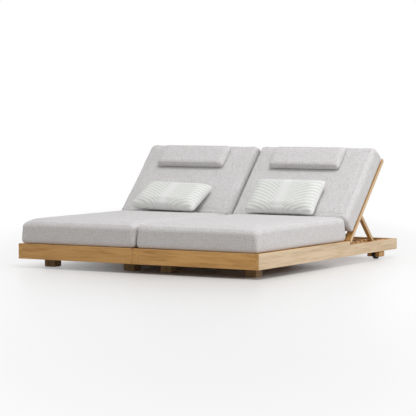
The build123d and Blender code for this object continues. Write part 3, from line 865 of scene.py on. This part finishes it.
def flank_rise(u, v):
    """How high a pillow's face stands over its seam: full flanks, then a slow crown."""
    flank = 1.0
    for place, size in ((u, pillow_size[0]), (v, pillow_size[1])):
        inward = min(1.0, (1.0 - abs(place)) * size / 2 / pillow_flank)
        flank *= (1.0 - (1.0 - inward) ** 2) ** 0.5
    crown = (1.0 - u * u) * (1.0 - v * v)
    return pillow_size[2] / 2 * (pillow_flank_share * flank + (1.0 - pillow_flank_share) * crown)


def throw_pillow(side, material):
    """A knife-edge pillow sewn from two faces, aired up, then pleated like a leaf."""
    axes = pillow_frame(side)
    solid = node_shell(f"throw_pillow_{side}", axes)
    low, high = limits(solid)
    surface = surface_of(solid)
    cover = bmesh.new()
    bmesh.ops.create_grid(cover, x_segments=pillow_cells[0], y_segments=pillow_cells[1], size=1.0)
    weave = cover.loops.layers.uv.new("weave")
    for face in cover.faces:
        for loop in face.loops:
            u, v = loop.vert.co.x, loop.vert.co.y
            loop[weave].uv = (u * pillow_size[0] / 2, v * pillow_size[1] / 2)
    doubled = bmesh.ops.duplicate(cover, geom=cover.faces[:])["geom"]
    bmesh.ops.reverse_faces(cover, faces=[e for e in doubled if isinstance(e, bmesh.types.BMFace)])
    under = {e for e in doubled if isinstance(e, bmesh.types.BMVert)}
    for vertex in cover.verts:
        u, v = vertex.co.x, vertex.co.y
        rise = flank_rise(u, v)
        vertex.co = Vector((*seam_point(u, v), -rise if vertex in under else rise))
    bmesh.ops.remove_doubles(cover, verts=cover.verts, dist=weld_gap)
    bmesh.ops.recalc_face_normals(cover, faces=cover.faces)
    mesh = bpy.data.meshes.new(f"throw_pillow_{side}_cloth")
    cover.to_mesh(mesh)
    cover.free()
    faces_out = [(v.co.z > 0.0) - (v.co.z < 0.0) for v in mesh.vertices]
    piece = bpy.data.objects.new(f"throw_pillow_{side}_swelling", mesh)
    bpy.context.scene.collection.objects.link(piece)
    swell(piece, pillow_cap, [])
    mesh = piece.data
    bpy.data.objects.remove(piece)
    kept_close(mesh, surface, low, high, pillow_sink, pillow_proud)
    relaxed(mesh)
    for vertex, out in zip(mesh.vertices, faces_out):
        if out:
            vertex.co.z = out * max(out * vertex.co.z, pillow_least)
        vertex.co.x = vertex.co.x * pillow_spread[0] + pillow_places[side]["shift"]
        vertex.co.y = low.y + (vertex.co.y - low.y) * pillow_spread[1]
    # The pleat depths are kept to paint shade into the pleats
    pleat_shade_depths = mesh.attributes.new("pleat", "FLOAT", "POINT")
    flat = {}
    for loop, corner in enumerate(mesh.loops):
        flat[corner.vertex_index] = mesh.uv_layers["weave"].data[loop].uv
    mesh.update()
    normals = [v.normal.copy() for v in mesh.vertices]
    for vertex, normal in zip(mesh.vertices, normals):
        u, v = flat[vertex.index]
        edge = min(pillow_size[0] / 2 - abs(u), pillow_size[1] / 2 - abs(v))
        fold = pleat(u, v) * min(1.0, edge / pleat_edge)
        pleat_shade_depths.data[vertex.index].value = fold
        vertex.co -= normal * fold * pleat_depth
    cloth_piece(
        f"throw_pillow_{side}_cover",
        mesh,
        axes,
        material,
        f"{side}_back",
        f"throw_pillow_{side}",
    )


def dress():
    """All the cushions and pillows of both modules."""
    cloth = tweed("grey_tweed")
    white = pillow_cloth("pillow_cloth")
    level = Matrix.Identity(4)
    slope = back_frame()
    for side in ("right", "left"):
        box_cushion("seat", side, "base", level, cloth)
        box_cushion("back", side, f"{side}_back", slope, cloth)
        box_cushion("head", side, f"{side}_back", slope, cloth)
        throw_pillow(side, white)


# Floor, light and camera

floor_reach = 16.0
floor_corners = 96
floor_seen = (0.80, 0.80, 0.80, 1.0)
floor_bounce = (0.51, 0.48, 0.45, 1.0)
floor_fade_squeeze = (4.0, 1.0, 1.0)
floor_fade = (2.0, 8.0)
sky_level = 0.55
light_target = (0.0, 0.0, 0.2)
softboxes = {
    "key": dict(place=(2.1, -2.1, 6.5), size=3.0, watts=215.0, colour=(1.0, 1.0, 1.0)),
    "side": dict(place=(6.5, 0.7, 2.5), size=2.5, watts=133.0, colour=(0.95, 0.975, 1.0)),
}


def pale_floor():
    """A pale floor that keeps the lounger's shadow and turns white away from it."""
    disc = bmesh.new()
    bmesh.ops.create_circle(disc, cap_ends=True, segments=floor_corners, radius=floor_reach)
    mesh = bpy.data.meshes.new("floor")
    disc.to_mesh(mesh)
    disc.free()
    floor = bpy.data.objects.new("floor", mesh)
    bpy.context.scene.collection.objects.link(floor)
    material, tree, shader = fresh_material("pale_floor")
    coords = node(tree, "TexCoord").outputs["Object"]
    turned = node(tree, "Mapping", {"Vector": coords, "Rotation": (0.0, 0.0, -camera_turn)})
    squeezed = stretched(tree, turned.outputs["Vector"], floor_fade_squeeze)
    reach = node(tree, "VectorMath", {0: squeezed}, operation="LENGTH").outputs["Value"]
    glow = node(tree, "Emission", {"Color": (1.0, 1.0, 1.0, 1.0), "Strength": 1.0})
    seen = seen_rays(tree, "Is Camera Ray", "Is Glossy Ray")
    tree.links.new(blended(tree, seen, floor_bounce, floor_seen), shader.inputs["Base Color"])
    shader.inputs["Roughness"].default_value = 0.35
    shader.inputs["Specular IOR Level"].default_value = 0.3
    away = maths(tree, "MULTIPLY", seen, rescaled(tree, reach, *floor_fade))
    mix = node(tree, "MixShader", {0: away, 1: shader.outputs[0], 2: glow.outputs[0]})
    tree.links.new(mix.outputs[0], tree.nodes["Material Output"].inputs["Surface"])
    mesh.materials.append(material)


def white_sky():
    """White where it is seen or mirrored, and a plain soft grey where it lights the lounger."""
    world = bpy.data.worlds.new("studio")
    bpy.context.scene.world = world
    world.use_nodes = True
    tree = world.node_tree
    seen = seen_rays(tree, "Is Camera Ray", "Is Glossy Ray", "Is Transmission Ray")
    strength = rescaled(tree, seen, 0.0, 1.0, sky_level, 1.0)
    sky = tree.nodes["Background"]
    sky.inputs["Color"].default_value = (1.0, 1.0, 1.0, 1.0)
    tree.links.new(strength, sky.inputs["Strength"])


def softbox(name, place, size, watts, colour):
    """A square area lamp turned towards the lounger."""
    lamp = bpy.data.lights.new(name, "AREA")
    lamp.shape = "SQUARE"
    lamp.size = size
    lamp.energy = watts
    lamp.color = colour
    box = bpy.data.objects.new(name, lamp)
    bpy.context.scene.collection.objects.link(box)
    box.location = place
    toward = Vector(light_target) - Vector(place)
    box.rotation_euler = toward.to_track_quat("-Z", "Y").to_euler()


def photographed_view():
    """The camera of the photograph."""
    lens = bpy.data.cameras.new("camera")
    lens.sensor_width = sensor_width
    lens.lens = sensor_width * focal_pixels / frame_pixels
    lens.clip_end = 100.0
    camera = bpy.data.objects.new("camera", lens)
    bpy.context.scene.collection.objects.link(camera)
    camera.location = camera_place
    camera.rotation_euler = (pi / 2 - camera_drop, 0.0, camera_turn)
    bpy.context.scene.camera = camera


photographed_view()
bpy.context.scene.view_settings.view_transform = "Standard"
white_sky()
for name, look in softboxes.items():
    softbox(name, **look)
pale_floor()
finish_frame()
dress()
